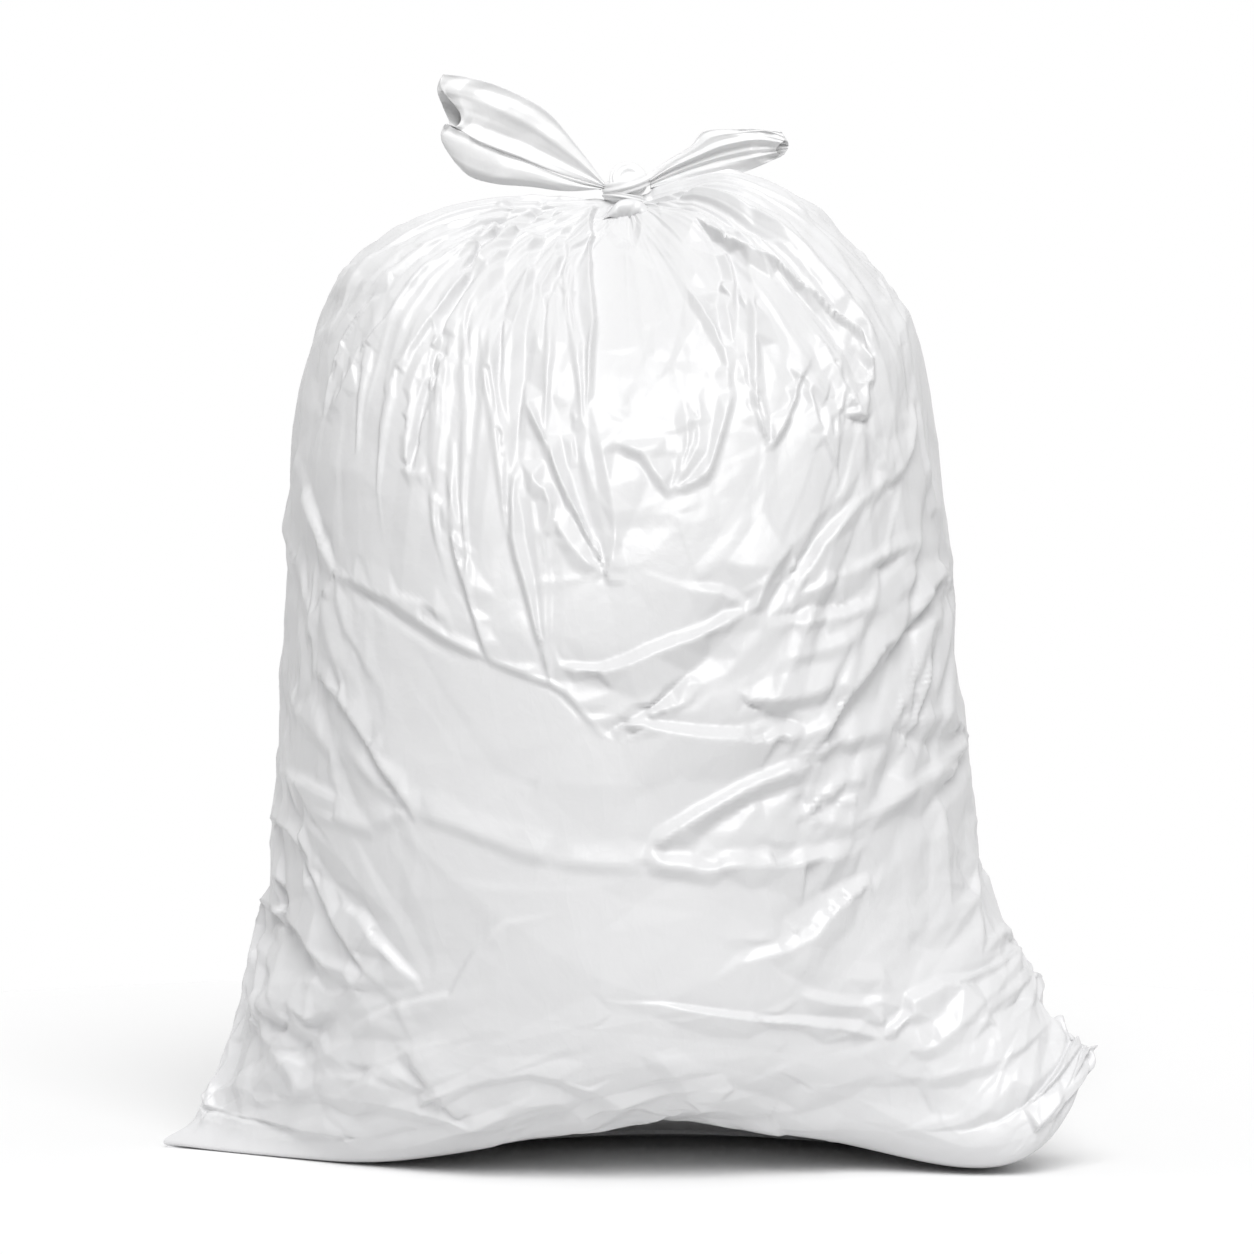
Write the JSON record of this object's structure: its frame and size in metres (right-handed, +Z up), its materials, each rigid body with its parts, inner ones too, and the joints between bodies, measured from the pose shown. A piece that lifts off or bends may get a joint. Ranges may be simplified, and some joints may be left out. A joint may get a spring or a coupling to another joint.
{
  "type": "full bin bag",
  "caption": "Full white bin bag of thin glossy film, gathered and knotted at the mouth, standing on its filled base with a corner at each end of the bottom seal.",
  "frame": {"origin": "centre of the bag's outline seen from above, at the level it stands on", "axes": "+Z up, from the base to the knot; +X to the right along the bottom seal, seen from the front; the front faces -Y"},
  "size_m": [0.6416, 0.4234, 0.7502],
  "materials": {
    "film": "thin glossy white film, crumpled"
  },
  "bodies": {
    "root": {"bin_bag": "film"}
  },
  "joints": []
}
